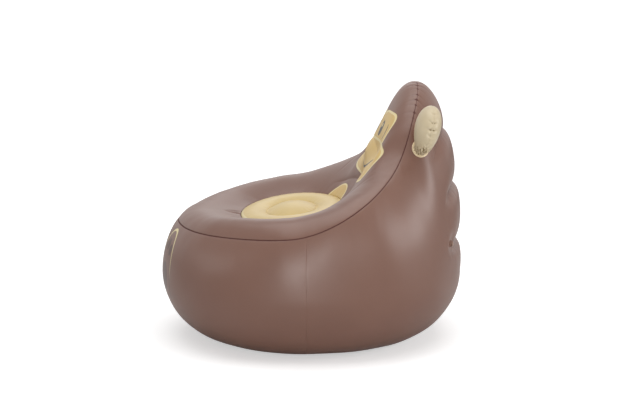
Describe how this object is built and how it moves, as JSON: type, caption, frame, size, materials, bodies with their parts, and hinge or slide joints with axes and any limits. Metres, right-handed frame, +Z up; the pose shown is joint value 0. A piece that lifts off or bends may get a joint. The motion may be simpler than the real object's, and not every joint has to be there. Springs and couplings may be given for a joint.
{
  "type": "inflatable child's chair",
  "caption": "Low inflatable armchair for a child: rounded ring of air-filled film with a high backrest shaped as an animal's head with small pillow ears, over a welded round seat.",
  "frame": {"origin": "centre of the bounding box's underside, on the floor, mid-width and mid-depth", "axes": "+Z up, -Y the way the chair faces, +X to the sitter's left"},
  "size_m": [0.7, 0.7359, 0.628],
  "materials": {
    "base_film": "soft calendered vinyl film, satin",
    "front_wall_film": "soft calendered vinyl film, satin, printed",
    "rear_wall_film": "soft calendered vinyl film, satin",
    "tub_film": "soft calendered vinyl film, satin, printed face",
    "seat_film": "soft calendered vinyl film, satin, printed",
    "tie_film": "clear unprinted vinyl film",
    "ear_film": "soft calendered vinyl film, satin",
    "valve_vinyl": "moulded soft vinyl",
    "flap_film": "thin clear vinyl film"
  },
  "bodies": {
    "chair": {"base_panel": "base_film", "outer_wall_front": "front_wall_film", "outer_wall_rear": "rear_wall_film", "tub_panel": "tub_film", "seat_panel": "seat_film", "seat_rim_tie": "tie_film", "seat_centre_tie": "tie_film", "back_tie_lower": "tie_film", "back_tie_middle": "tie_film", "back_tie_upper": "tie_film", "ear_left_front": "ear_film", "ear_left_rear": "ear_film", "ear_right_front": "ear_film", "ear_right_rear": "ear_film", "valve_flange": "valve_vinyl"},
    "valve_stem": {"valve_stem": "valve_vinyl"},
    "valve_plug": {"valve_plug": "valve_vinyl"},
    "valve_flap": {"valve_flap": "flap_film"}
  },
  "joints": [
    {"name": "valve_stem_slide", "type": "slide", "parent": "chair", "child": "valve_stem", "axis": [0.3215, 0.9469, 0.0057], "range_m": [0, 0.012]},
    {"name": "valve_plug_pull", "type": "slide", "parent": "valve_stem", "child": "valve_plug", "axis": [0.3215, 0.9469, 0.0057], "range_m": [0, 0.01]},
    {"name": "valve_flap_hinge", "type": "hinge", "parent": "valve_stem", "child": "valve_flap", "pos_m": [0.13286, 0.31567, 0.24965], "axis": [0.9469, -0.3214, -0.0059], "range_deg": [0, 60], "stiffness_Nm_per_rad": 0.0002}
  ]
}
